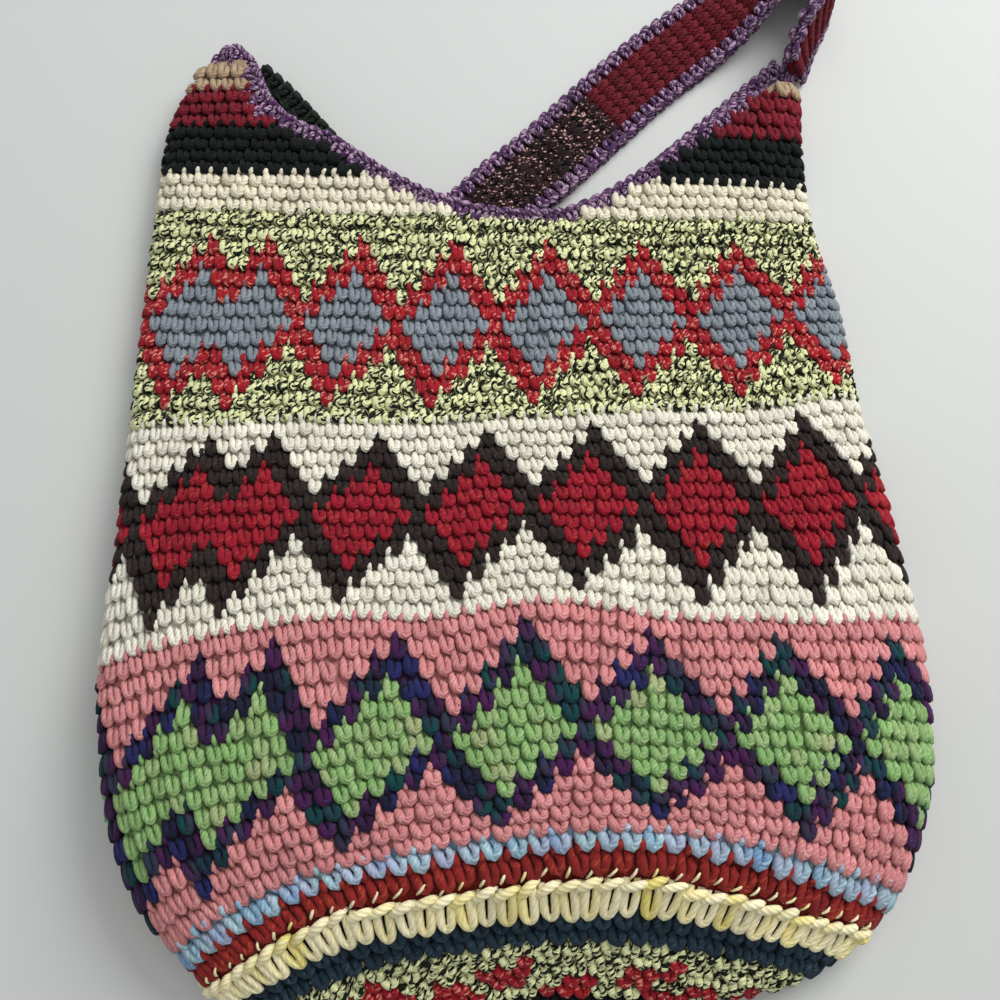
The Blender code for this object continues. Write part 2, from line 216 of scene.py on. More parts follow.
# Where rows lie higher or lower on this bag than on the even cloth: row, share of the way round, rows moved,
# and how far in rows and in share that reaches
Drift = namedtuple("Drift", "row share rows row_reach share_reach")
DRIFTS = (
    Drift(53, -0.14, -0.85, 5.5, 0.08),
    Drift(52, 0.06, -0.5, 4, 0.09),
    Drift(39, -0.115, -0.6, 5, 0.05),
    Drift(39, 0.13, 0.55, 5, 0.08),
    Drift(39, 0.024, -0.45, 5, 0.045),
)
# Rows of the ears and of the base lie evenly: where the wandering begins, and the rows over which it grows
# and fades again
WANDER_ROW = 14
WANDER_GROWS = 6
WANDER_FADES = 4
# The dent in the belly: its row, its share, its depth, and its reach in rows and in share
DENT_ROW = 47.0
DENT_SHARE = 0.08
DENT_DEPTH = 2.2
DENT_ROWS = 2.4
DENT_REACH = 0.022

# The table of places on the bag, from which every stitch is laid: rows between two of its rings, places on
# each ring, and the corners of a quarter of the finer ring that they are read from
RING_STEP = 0.25
RING_PLACES = 512
QUARTER_RING = 360
# The least height over the table
TABLE_GAP = 0.05


def spline(knots, values, at):
    """A smooth curve through the values, read at each place among the knots."""
    knots, values, at = (np.asarray(item, float) for item in (knots, values, at))
    i = np.clip(np.searchsorted(knots, at, side="right") - 1, 0, len(knots) - 2)
    before, after = np.maximum(i - 1, 0), np.minimum(i + 2, len(knots) - 1)
    span = knots[i + 1] - knots[i]
    t = (at - knots[i]) / span
    slope_in = (values[i + 1] - values[before]) / (knots[i + 1] - knots[before])
    slope_out = (values[after] - values[i]) / (knots[after] - knots[i])
    start = values[i] * (2 * t ** 3 - 3 * t ** 2 + 1) + slope_in * span * (t ** 3 - 2 * t ** 2 + t)
    return start + values[i + 1] * (3 * t ** 2 - 2 * t ** 3) + slope_out * span * (t ** 3 - t ** 2)


def unit(vectors):
    """The same directions, each of length one."""
    return vectors / np.maximum(np.linalg.norm(vectors, axis=-1, keepdims=True), 1e-9)


def ring_places(row, angles):
    """Places on the smooth outside of one round, by angles from the right fold over the front's middle."""
    rows = [one.row for one in STATIONS]
    values = [spline(rows, [one[k] for one in STATIONS], row) for k in range(1, len(Station._fields))]
    ring = Station(row, *[float(value) for value in values])
    across, up = np.cos(angles), np.sin(angles)
    rise = np.abs(up)
    late = min(max((row - BLACK_ROW) / (LAST_ROW - BLACK_ROW), 0), 1)
    side_y = (ring.left_y + ring.right_y) / 2
    middle_y = np.where(up >= 0, ring.front_y, ring.back_y)
    x = (ring.left_x + ring.right_x) / 2 + (ring.right_x - ring.left_x) / 2 * across
    y = side_y + (ring.right_y - ring.left_y) / 2 * across + (middle_y - side_y) * rise ** (2 - late)
    belly = min(max((row - SPECKLE_ROW) / (PINK_ROW - SPECKLE_ROW), 0), 1)
    front_z = ring.side_z + (ring.front_z - ring.side_z) * rise ** (FLAT_FRONT + ROUND_BELLY * belly)
    back_z = ring.side_z * (1 - np.minimum(rise / BACK_FLAT, 1)) ** 3
    z = np.maximum(np.where(up >= 0, front_z, back_z), 0)
    return np.stack([x, y, z], axis=-1)


def read_steps(steps, row):
    """A value that changes evenly between the rows given."""
    return np.interp(row, [one[0] for one in steps], [one[1] for one in steps])


def warp(row, share):
    """Where a share of a row's stitches lies on the cloth. Both shares run from the front's middle."""
    half = float(read_steps(FRONT_SHARE, row)) / 2
    share = share % 1.0
    even = np.interp(share, [0, half, 1 - half, 1], [0, 0.25, 0.75, 1])
    return even + float(read_steps(STRETCH, row)) / math.tau * np.sin(math.tau * share)


def share_between(share, other):
    """How far round the bag a share lies from another, the short way."""
    return (share - other + 0.5) % 1.0 - 0.5


class BagSurface:
    """Places and outward directions all over the bag, read by row and by share of the way round the cloth."""

    def __init__(self):
        self.rows = np.arange(TOP_ROW, LAST_ROW + RING_STEP / 2, RING_STEP)
        angles = math.pi / 2 - np.linspace(0, math.tau, 4 * QUARTER_RING + 1)
        shares = np.arange(RING_PLACES + 1) / RING_PLACES
        places = []
        for row in self.rows:
            ring = ring_places(row, angles)
            run = np.concatenate([[0], np.cumsum(np.linalg.norm(np.diff(ring, axis=0), axis=1))])
            folds = [0, run[QUARTER_RING], run[3 * QUARTER_RING], run[-1]]
            at = np.interp(shares, [0, 0.25, 0.75, 1], folds)
            places.append(np.stack([np.interp(at, run, ring[:, axis]) for axis in range(3)], axis=-1))
        self.places = np.array(places)
        around = np.roll(self.places[:, :-1], -1, axis=1) - np.roll(self.places[:, :-1], 1, axis=1)
        around = np.concatenate([around, around[:, :1]], axis=1)
        self.outward = unit(np.cross(np.gradient(self.places, axis=0), around))

    def read(self, table, row, share):
        """Mixes the four nearest entries of a table."""
        r = np.clip((row - TOP_ROW) / RING_STEP, 0, len(self.rows) - 1.001)
        s = (share % 1.0) * RING_PLACES
        r0, s0 = r.astype(int), np.minimum(s.astype(int), RING_PLACES - 1)
        fr, fs = (r - r0)[..., None], (s - s0)[..., None]
        low = table[r0, s0] * (1 - fs) + table[r0, s0 + 1] * fs
        high = table[r0 + 1, s0] * (1 - fs) + table[r0 + 1, s0 + 1] * fs
        return low * (1 - fr) + high * fr

    def at(self, row, share, out=0.0, sink=0.0):
        """Places at a height over the cloth. Where the cloth lies on the table they sink into it instead."""
        turn = math.tau * share
        grown, left = (row - WANDER_ROW) / WANDER_GROWS, (BLUE_ROW - row) / WANDER_FADES
        calm = np.clip(grown, 0, 1) * np.clip(left, 0, 1)
        wave = np.sin(5 * turn + 0.09 * row + 0.6) * 0.6 + np.sin(9 * turn - 0.13 * row + 2.1) * 0.4
        row = row + WANDER * calm * wave
        for drift in DRIFTS:
            far = ((row - drift.row) / drift.row_reach) ** 2
            far = far + (share_between(share, drift.share) / drift.share_reach) ** 2
            row = row + drift.rows * np.exp(-far)
        row = np.clip(row, TOP_ROW, LAST_ROW)
        place = self.read(self.places, row, share)
        normal = unit(self.read(self.outward, row, share))
        pucker = np.sin(11 * turn + 0.21 * row) * np.sin(0.37 * row + 3 * turn)
        pucker = pucker + 0.6 * np.sin(23 * turn - 0.5 * row)
        far = ((row - DENT_ROW) / DENT_ROWS) ** 2 + (share_between(share, DENT_SHARE) / DENT_REACH) ** 2
        lift = PUCKER * pucker - DENT_DEPTH * np.exp(-far)
        height = out + lift * np.clip(normal[..., 2], 0, 1) - sink * np.clip(-normal[..., 2], 0, 1)
        place = place + normal * height[..., None]
        place[..., 2] = np.maximum(place[..., 2], TABLE_GAP)
        return place


def stitches_in(row):
    """How many stitches a row has."""
    if row < SPECKLE_ROW:
        return EAR_STITCHES
    if row < BLUE_ROW:
        return WALL_STITCHES
    return BASE_STITCHES - BASE_DECREASE * max(0, row - BASE_ROW)


def lean_at(row):
    """How far, in stitches, a row has moved to the right of its first column."""
    return LEAN_START + LEAN * (DIAMOND_ROWS[0] - row)


# Yarns of the three bands, each as its ground, its outline and its filling, and of the rows at the turn
UPPER = ["speckle", "leaf_red", "grey_blue"]
MIDDLE = ["white", "charcoal", "red"]
LOWER = ["pink", "storm", "light_green"]
TURN = ["light_blue", "red_orange", "cream_yellow", "navy"]


def diamond_kind(row, column, band):
    """0 for the ground, 1 for a diamond's outline and 2 for its filling."""
    step = abs(row - DIAMOND_ROWS[band])
    if step > 5:
        return np.zeros(len(column), int)
    middles = DIAMOND_MIDDLES[band] + DIAMOND_FIRST + DIAMOND_REPEAT * np.arange(DIAMONDS)
    gap = np.abs((column[:, None] - middles[None, :] + WALL_STITCHES / 2) % WALL_STITCHES - WALL_STITCHES / 2)
    near = gap.min(axis=1)
    return np.where(near < 3.5 - step, 2, np.where(near < 5.5 - step, 1, 0))


def yarns_of(row, column, count):
    """The yarn of each stitch of a row, as a list of names."""
    if row < WINE_ROW:
        return ["tan"] * len(column)
    if row < BLACK_EAR_ROW:
        return ["wine"] * len(column)
    if row < CREAM_ROW:
        return ["black"] * len(column)
    if row < SPECKLE_ROW:
        return ["cream"] * len(column)
    if row < BLUE_ROW:
        band = 0 if row < WHITE_ROW else 1 if row < PINK_ROW else 2
        return [(UPPER, MIDDLE, LOWER)[band][kind] for kind in diamond_kind(row, column, band)]
    if row < NAVY_ROW:
        return [TURN[row - BLUE_ROW]] * len(column)
    if row < BASE_SPECKLE_ROW:
        return ["navy"] * len(column)
    if row < BLACK_ROW:
        turn = (column / count * BASE_PETALS + PETAL_TURN) % 1.0 - 0.5
        step = abs(row - PETAL_ROW)
        from_middle = np.abs(turn) * count / BASE_PETALS
        red = (from_middle < 2.6 - step) & ~((step == 0) & (from_middle < 0.5))
        return ["leaf_red" if one else "speckle" for one in red]
    return ["base_black"] * len(column)


def mouth_line(points):
    """The mouth's edge: its places along x, and their places along y."""
    run = np.concatenate([[0], np.cumsum(np.hypot(*np.diff(np.array(points), axis=0).T))])
    at = np.linspace(0, run[-1], 400)
    x = spline(run, [p[0] for p in points], at)
    y = spline(run, [p[1] for p in points], at)
    order = np.argsort(x)
    return x[order], y[order]


def below_mouth(places, share):
    """How far below the edging's middle line each place lies. Share is that of the cloth."""
    on_front = np.abs(share_between(share, 0)) < 0.25
    room = np.empty(len(places))
    reach = 1.5
    for points, side in ((FRONT_MOUTH + [EAR_END], on_front), (BACK_MOUTH, ~on_front)):
        line = mouth_line(points)
        edge = np.interp(places[side, 0], *line)
        rise = np.interp(places[side, 0] + reach, *line) - np.interp(places[side, 0] - reach, *line)
        room[side] = (edge - places[side, 1]) / np.hypot(1, rise / (2 * reach))
    top = np.where(places[:, 0] > 0, EAR_TOP, LEFT_EAR_TOP)
    return np.minimum(room, top - places[:, 1])


# Yarn loops
SIDES = 6
STEPS = 8
NOMINAL_STITCH = 5.3
NOMINAL_ROW = 5.7
LEAST_WIDTH = 2.5
LEAST_HEIGHT = 3.0
LOOP_RUN = 14.0
Loop = namedtuple("Loop", "middle offset faces uv")

# How unlike the stitches are: turn in radians, thickness, slide in stitches and in rows, height in mm, shade
STITCH_TURN = 0.09
STITCH_SWELL = 0.05
STITCH_SLIDE = 0.05
STITCH_HEIGHT = 0.18
STITCH_SHADE = 0.06
LEAST_SHADE = 0.82
MOST_SHADE = 1.18
# How much thicker a stretched stitch looks, how far a stitch leans, and how far the table presses it flat
STRETCHED = (0.85, 1.35)
STRETCH_POWER = 0.7
MOST_SHEAR = 1.2
TABLE_SINK = 1.3


def crowded(share):
    """The same share of a route, with more corners about its middle, where it bends."""
    return share + 0.35 / math.tau * np.sin(math.tau * share)


def read_all(items, key, width):
    """One value of every item of a mesh, a row of numbers for each item."""
    values = np.empty(len(items) * width)
    items.foreach_get(key, values)
    return values.reshape(-1, width)


def add_shade(mesh, values):
    """How bright the yarn is at each corner, which its material reads: a stitch's own tone, or painted shade
    on the cloth and the cores.
    """
    shade = mesh.attributes.new("shade", "FLOAT", "POINT")
    shade.data.foreach_set("value", np.broadcast_to(values, len(mesh.vertices)).astype(np.float32))


def close_up(merge=None, holes=None):
    """Merges near corners of the active mesh, fills its holes, and turns its faces outward."""
    bpy.ops.object.mode_set(mode="EDIT")
    bpy.ops.mesh.select_all(action="SELECT")
    if merge:
        bpy.ops.mesh.remove_doubles(threshold=merge)
    if holes:
        bpy.ops.mesh.fill_holes(sides=holes)
        bpy.ops.mesh.select_all(action="SELECT")
    bpy.ops.mesh.normals_make_consistent(inside=False)
    bpy.ops.object.mode_set(mode="OBJECT")


def loop_of_yarn(name, route, widths, depth=0.9, steps=STEPS):
    """One bent loop of yarn: a grid rolled into a tube along a route. The route and the widths are in mm."""
    bpy.ops.mesh.primitive_grid_add(x_subdivisions=SIDES, y_subdivisions=steps, size=1)
    loop = bpy.context.object
    loop.name = name
    mesh = loop.data
    route = np.array(route, float)
    run = np.concatenate([[0], np.cumsum(np.linalg.norm(np.diff(route, axis=0), axis=1))])
    flat = read_all(mesh.vertices, "co", 3)
    turn, at = (flat[:, 0] + 0.5) * math.tau, crowded(flat[:, 1] + 0.5) * run[-1]

    def along(where):
        return np.stack([spline(run, route[:, axis], where) for axis in range(3)], axis=-1)

    step = run[-1] * 0.01
    way = unit(along(np.minimum(at + step, run[-1])) - along(np.maximum(at - step, 0)))
    sideways = unit(np.cross(way, [0, 0, 1.0]))
    over = np.cross(sideways, way)
    radius = np.interp(at, run, widths)
    tube = along(at) + sideways * (radius * np.cos(turn))[:, None]
    tube = tube + over * (radius * depth * np.sin(turn))[:, None]
    mesh.vertices.foreach_set("co", tube.ravel())
    way_along = mesh.attributes.new("way_along", "FLOAT", "POINT")
    way_along.data.foreach_set("value", at)
    close_up(merge=0.001, holes=SIDES)
    middle = along(read_all(mesh.attributes["way_along"].data, "value", 1)[:, 0])
    offset = read_all(mesh.vertices, "co", 3) - middle
    faces = [list(face.vertices) for face in mesh.polygons]
    uv = read_all(mesh.uv_layers.active.data, "uv", 2)
    uv = np.stack([crowded(uv[:, 1]) * run[-1], uv[:, 0]], axis=1)
    bpy.data.objects.remove(loop, do_unlink=True)
    bpy.data.meshes.remove(mesh)
    return Loop(middle, offset, faces, uv)


def knit(name, loop, places, yarn_names, runs, shades, yarns):
    """One piece from many copies of a loop, each copy with its own corners, yarn and shade."""
    faces, uv = loop.faces, loop.uv
    count, size = places.shape[:2]
    mesh = bpy.data.meshes.new(name)
    sizes = np.array([len(face) for face in faces])
    starts = np.concatenate([[0], np.cumsum(sizes)[:-1]])
    flat_faces = np.concatenate([np.array(face) for face in faces])
    mesh.vertices.add(count * size)
    mesh.vertices.foreach_set("co", (to_frame(places) * MM).astype(np.float32).ravel())
    mesh.loops.add(count * len(flat_faces))
    all_loops = (flat_faces[None, :] + size * np.arange(count)[:, None]).ravel()
    mesh.loops.foreach_set("vertex_index", all_loops.astype(np.int32))
    mesh.polygons.add(count * len(sizes))
    all_starts = (starts[None, :] + len(flat_faces) * np.arange(count)[:, None]).ravel()
    mesh.polygons.foreach_set("loop_start", all_starts.astype(np.int32))
    names = sorted(set(yarn_names), key=yarn_names.index)
    for one in names:
        mesh.materials.append(yarns[one])
    slots = np.array([names.index(one) for one in yarn_names])
    mesh.polygons.foreach_set("material_index", np.repeat(slots, len(sizes)).astype(np.int32))
    mesh.polygons.foreach_set("use_smooth", np.ones(count * len(sizes), bool))
    layer = mesh.uv_layers.new(name="yarn")
    all_uv = np.tile(uv[None], (count, 1, 1))
    all_uv[:, :, 0] += np.asarray(runs)[:, None]
    layer.data.foreach_set("uv", all_uv.astype(np.float32).ravel())
    add_shade(mesh, np.repeat(shades, size))
    mesh.update(calc_edges=True)
    mesh.validate()
    piece = bpy.data.objects.new(name, mesh)
    bpy.context.collection.objects.link(piece)
    return piece


SHIFT = np.zeros(3)


def to_frame(places):
    """From the bag's own place to the frame's."""
    return places + SHIFT


def settle(surface):
    """Finds where the frame has the bag's own middle, from the box of the body's solid."""
    low, high = (np.array(corner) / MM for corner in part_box("bag_body"))
    own = surface.places.reshape(-1, 3)
    SHIFT[0] = (low[0] + high[0] - own[:, 0].min() - own[:, 0].max()) / 2
    SHIFT[1] = low[1] + ROW_RIDGE - own[:, 1].min()
    SHIFT[2] = low[2]


def stitch_loop():
    """A single crochet: a long left leg, a round tip over the row below and a hooked right leg."""
    route = [(-1.35, 4.5, -0.9), (-1.6, 3.3, -0.2), (-1.65, 2.0, 0.1), (-1.28, 0.4, 0.5), (-0.85, -1.1, 0.75),
             (0.2, -2.05, 0.8), (1.25, -1.15, 0.7), (1.5, 0.2, 0.5), (1.2, 1.5, 0.15), (0.4, 2.5, -0.5)]
    return loop_of_yarn("stitch", route, [0.5, 1.0, 1.45, 1.6, 1.58, 1.42, 1.45, 1.45, 1.4, 1.1])


def open_loop():
    """The open loop of the row at the turn of the base, with the hole that shows between its legs."""
    route = [(-1.4, 3.0, -0.6), (-1.5, 1.4, 0.3), (-1.5, -0.8, 0.8), (-1.2, -2.2, 0.95), (0.05, -3.0, 0.8),
             (1.25, -2.2, 0.95), (1.55, -0.8, 0.8), (1.55, 1.4, 0.3), (1.4, 3.0, -0.6)]
    return loop_of_yarn("open_loop", route, [1.1, 1.33, 1.4, 1.38, 1.4, 1.38, 1.4, 1.33, 1.1], steps=14)


def chain_link(thick=1.0):
    """One link of a chain ridge: a slanting strand that starts under the link before it."""
    route = [(-3.4, -1.3, -0.9), (-2.3, -0.95, 0.2), (-0.6, -0.25, 0.8), (1.2, 0.5, 0.85), (2.5, 0.8, 0.3),
             (3.3, 0.6, -0.7)]
    return loop_of_yarn("chain_link", route, np.array([0.9, 1.45, 1.75, 1.65, 1.3, 0.8]) * thick, steps=6)


def spike():
    """The end of a base stitch that shows between the legs of the row above it."""
    route = [(1.0, 0.9, 0.2), (0.5, 0.4, 1.0), (-0.3, -0.5, 1.0), (-0.9, -1.4, 0.0)]
    return loop_of_yarn("spike", route, [0.3, 0.46, 0.5, 0.32], steps=4)


def tooth():
    """The end of a stitch that stands up between two of the row above. It shows where the yarn changes."""
    route = [(-0.75, 6.2, -0.1), (-1.15, 5.2, 0.95), (-1.55, 3.6, 1.05), (-1.6, 2.3, 0.2)]
    return loop_of_yarn("tooth", route, [0.45, 0.92, 1.1, 0.7], steps=3)


def edging_leg():
    """One stitch of the edging: two short legs from the ridge into the cloth."""
    route = [(-1.45, 2.2, -0.7), (-1.45, 0.9, 0.45), (-1.1, -0.9, 0.65), (-0.6, -2.3, 0.3), (0.1, -2.9, -0.2),
             (0.8, -2.2, 0.3), (1.25, -0.8, 0.65), (1.4, 0.9, 0.45), (1.1, 2.2, -0.7)]
    return loop_of_yarn("edging_leg", route, [0.8, 1.05, 1.15, 1.05, 0.95, 1.05, 1.15, 1.05, 0.8])


def rows_piece(name, surface, rows, loop, yarns, seed, lift=0.0, rise=0.0, least_room=None, at_change=False):
    """Stitches of some rows, laid round the bag: all, those below the mouth, or those at a change of yarn."""
    random = np.random.default_rng(SEED + seed)
    places, names, runs, shades = [], [], [], []
    for row in rows:
        count = stitches_in(row)
        column = np.arange(count) - count // 2
        share = (column + lean_at(row)) / count
        yarn_names = yarns_of(row, column, count)
        here = np.full(count, row + 0.5)
        keep = np.full(count, True)
        if least_room is not None:
            keep &= below_mouth(surface.at(here, warp(row, share)), warp(row, share)) > least_room
        if at_change:
            over = yarns_of(row - 1, column - 1, count)
            keep &= np.array([one != two for one, two in zip(yarn_names, over)])
        column, share, here = column[keep], share[keep], here[keep]
        yarn_names = [one for one, kept in zip(yarn_names, keep) if kept]
        total = len(column)
        if not total:
            continue
        half, near = 0.5 / count, 0.4
        across = surface.at(here, warp(row, share + half)) - surface.at(here, warp(row, share - half))
        down = surface.at(here + near, warp(row, share)) - surface.at(here - near, warp(row, share))
        width = np.maximum(np.linalg.norm(across, axis=1), LEAST_WIDTH)[:, None]
        height = np.maximum(np.linalg.norm(down, axis=1) / (2 * near), LEAST_HEIGHT)[:, None]
        shear = ((down * across).sum(axis=1) / (2 * near) / (across * across).sum(axis=1))[:, None]
        turn = random.normal(0, STITCH_TURN, total)[:, None]
        swell = 1 + random.normal(0, STITCH_SWELL, total)[:, None]
        swell = swell * np.clip(width / NOMINAL_STITCH, *STRETCHED) ** STRETCH_POWER
        slide = random.normal(0, STITCH_SLIDE, (total, 2))
        x = loop.middle[None, :, 0] * width / NOMINAL_STITCH + loop.offset[None, :, 0] * swell
        y = loop.middle[None, :, 1] * height / NOMINAL_ROW + loop.offset[None, :, 1] * swell
        z = loop.middle[None, :, 2] + loop.offset[None, :, 2] * swell + lift
        z = z + random.normal(0, STITCH_HEIGHT, total)[:, None]
        x_stitch = (x * np.cos(turn) - y * np.sin(turn)) / width + slide[:, :1]
        y_row = (x * np.sin(turn) + y * np.cos(turn)) / height + slide[:, 1:] + rise
        # A stitch leans about its own middle, and a tooth with the row above, where it stands
        ahead = 1 if at_change else 0
        leant = x_stitch + np.clip(shear, -MOST_SHEAR, MOST_SHEAR) * (y_row - ahead)
        share_at = warp(row - ahead, share[:, None] + leant / count)
        places.append(surface.at(row + 0.5 - y_row, share_at, z, sink=TABLE_SINK))
        names += yarn_names
        # Each row starts elsewhere along its yarn, so the tones of two rows don't line up
        runs.append(((row * 37) % 101 * WALL_STITCHES + column) * LOOP_RUN)
        shades.append(np.clip(random.normal(1, STITCH_SHADE, total), LEAST_SHADE, MOST_SHADE))
    places, runs, shades = (np.concatenate(item) for item in (places, runs, shades))
    return knit(name, loop, places, names, runs, shades, yarns)


class Band:
    """A flat band of cloth along a line: the strap or a mouth edging."""

    def __init__(self, middle, left, up):
        self.middle, self.left, self.up = middle, left, up
        steps = np.linalg.norm(np.diff(middle, axis=0), axis=1)
        self.run = np.concatenate([[0], np.cumsum(steps)])

    def at(self, along, side, out):
        """Places by the way along the band, to its left and over it."""
        at = np.clip(along, 0, self.run[-1])
        extra = (along - at)[..., None]

        def read(values):
            return np.stack([np.interp(at, self.run, values[:, axis]) for axis in range(3)], axis=-1)
        left, up = unit(read(self.left)), unit(read(self.up))
        way = np.cross(left, up)
        place = read(self.middle) + left * side[..., None] + up * out[..., None] + way * extra
        place[..., 2] = np.maximum(place[..., 2], TABLE_GAP)
        return place


def smooth_line(points, step):
    """Places about one step apart on a smooth curve through the points."""
    points = np.array(points, float)
    run = np.concatenate([[0], np.cumsum(np.linalg.norm(np.diff(points[:, :2], axis=0), axis=1))])
    at = np.linspace(0, run[-1], max(3, round(run[-1] / step) + 1))
    return np.stack([spline(run, points[:, axis], at) for axis in range(points.shape[1])], axis=-1)


def headings(line):
    """The way a line runs at each of its places, in the plane of the table."""
    way = np.gradient(line[:, :2], axis=0)
    return unit(np.concatenate([way, np.zeros((len(way), 1))], axis=1))


def front_heights(surface, xy):
    """Height of the front's outside over places near the mouth, from the nearest known places."""
    side, lowest = 150, 60
    front = np.concatenate([np.arange(0, side), np.arange(RING_PLACES - side, RING_PLACES)])
    known = surface.places[:, front].reshape(-1, 3)
    known = known[known[:, 1] > lowest]
    heights = []
    for place in xy:
        far = np.hypot(known[:, 0] - place[0], known[:, 1] - place[1])
        nearest = np.argsort(far)[:4]
        weight = 1 / (far[nearest] + 0.05)
        heights.append((known[nearest, 2] * weight).sum() / weight.sum())
    kernel = np.ones(9) / 9
    return np.convolve(np.pad(heights, 4, mode="edge"), kernel, mode="valid")


def band_of_edging(surface, points, on_front):
    """The band that an edging is worked on."""
    line = smooth_line(points, 1.0)
    if on_front:
        height = front_heights(surface, line) - WALL / 2
    else:
        height = np.full(len(line), EDGING_THICK / 2)
    way = headings(line)
    left = np.stack([-way[:, 1], way[:, 0], np.zeros(len(way))], axis=-1)
    middle = np.concatenate([line[:, :2], height[:, None]], axis=1)
    return Band(middle, left, np.cross(way, left))


def band_of_strap():
    """The strap's band, with its half width along the way."""
    x, y, *rest = zip(*STRAP_ROUTE)
    line = smooth_line(list(zip(x, y)), 1.0)
    steps = [math.hypot(b.x - a.x, b.y - a.y) for a, b in zip(STRAP_ROUTE, STRAP_ROUTE[1:])]
    knots = np.concatenate([[0], np.cumsum(steps)])
    at = np.linspace(0, knots[-1], len(line))
    lift, roll, share = (spline(knots, values, at) for values in rest)
    roll = np.radians(roll)
    width = STRAP_WIDTH / 2 * share
    height = lift + width * np.abs(np.sin(roll)) + STRAP_HEM / 2 * np.cos(roll)
    way = headings(line)
    flat_left = np.stack([-way[:, 1], way[:, 0], np.zeros(len(way))], axis=-1)
    left = flat_left * np.cos(roll)[:, None] - np.array([0, 0, 1.0]) * np.sin(roll)[:, None]
    middle = np.concatenate([line[:, :2], height[:, None]], axis=1)
    return Band(middle, left, np.cross(way, left)), width


# Where one loop lies on a band: along it, to its left, over it, how far turned, on which face, in which yarn
Spot = namedtuple("Spot", "along side out turn face yarn size", defaults=(1.0,))
# How unlike a band's loops are, in radians and in shade, and how far the yarn's pattern moves on with each
# millimetre along the band and with each loop
BAND_TURN = 0.05
BAND_SHADE = 0.08
RUN_ALONG = 3
RUN_ON = 1.3


def band_piece(name, band, spots, yarns, seed):
    """Copies of loops laid on a band, one for each spot."""
    random = np.random.default_rng(SEED + seed)
    pieces = []
    for loop, group in spots:
        corners = loop.middle + loop.offset
        count = len(group)
        spin = random.normal(0, BAND_TURN, count)
        columns = dict(zip(Spot._fields, zip(*group)))
        names = list(columns.pop("yarn"))
        at = {key: np.array(values)[:, None] for key, values in columns.items()}
        turn = at["turn"] + spin[:, None]
        x = corners[None, :, 0] * at["size"]
        y = corners[None, :, 1]
        along = x * np.cos(turn) - y * np.sin(turn)
        side = x * np.sin(turn) + y * np.cos(turn)
        out = at["out"] + corners[None, :, 2] * at["face"]
        places = band.at(at["along"] + along, at["side"] + side * at["face"], out)
        runs = at["along"][:, 0] * RUN_ALONG + np.arange(count) * RUN_ON
        shades = np.clip(random.normal(1, BAND_SHADE, count), 0.8, 1.2)
        pieces.append(knit(name, loop, places, names, runs, shades, yarns))
    bpy.ops.object.select_all(action="DESELECT")
    for piece in pieces:
        piece.select_set(True)
    bpy.context.view_layer.objects.active = pieces[0]
    if len(pieces) > 1:
        bpy.ops.object.join()
    return bpy.context.view_layer.objects.active


# Yarn finishes

def linear(code):
    """An sRGB hex value as the shader's own colour."""
    channels = [int(code[k:k + 2], 16) / 255 for k in (0, 2, 4)]
    return tuple(c / 12.92 if c <= 0.04045 else ((c + 0.055) / 1.055) ** 2.4 for c in channels) + (1.0,)


def node(tree, kind, links=(), **settings):
    """Adds one shader node with its settings and its links. A link is an input and what feeds it."""
    made = tree.nodes.new("ShaderNode" + kind)
    for key, value in settings.items():
        setattr(made, key, value)
    for key, value in links:
        if isinstance(value, bpy.types.NodeSocket):
            tree.links.new(value, made.inputs[key])
        else:
            made.inputs[key].default_value = value
    return made


def maths(tree, operation, *values):
    """What a Math node makes of its values."""
    return node(tree, "Math", enumerate(values), operation=operation).outputs[0]


def ranged(tree, value, start, end, low, high):
    """A value brought from the range of start and end to that of low and high."""
    return node(tree, "MapRange", enumerate((value, start, end, low, high))).outputs[0]


def noise(tree, place, dimensions, **links):
    """Noise of scale 1 at a place."""
    links = {"W" if dimensions == "1D" else "Vector": place, "Scale": 1.0, **links}
    return node(tree, "TexNoise", links.items(), noise_dimensions=dimensions).outputs[0]


def stretched(tree, along, across, scale):
    """A place along the yarn and across its strands, with a scale for each."""
    place = node(tree, "CombineXYZ", [(0, along), (1, across)]).outputs[0]
    return node(tree, "VectorMath", [(0, place), (1, (*scale, 0))], operation="MULTIPLY").outputs[0]


Yarn = namedtuple("Yarn", "tones fleck fleck_share fleck_length slow strands ply", defaults=(8, 0))
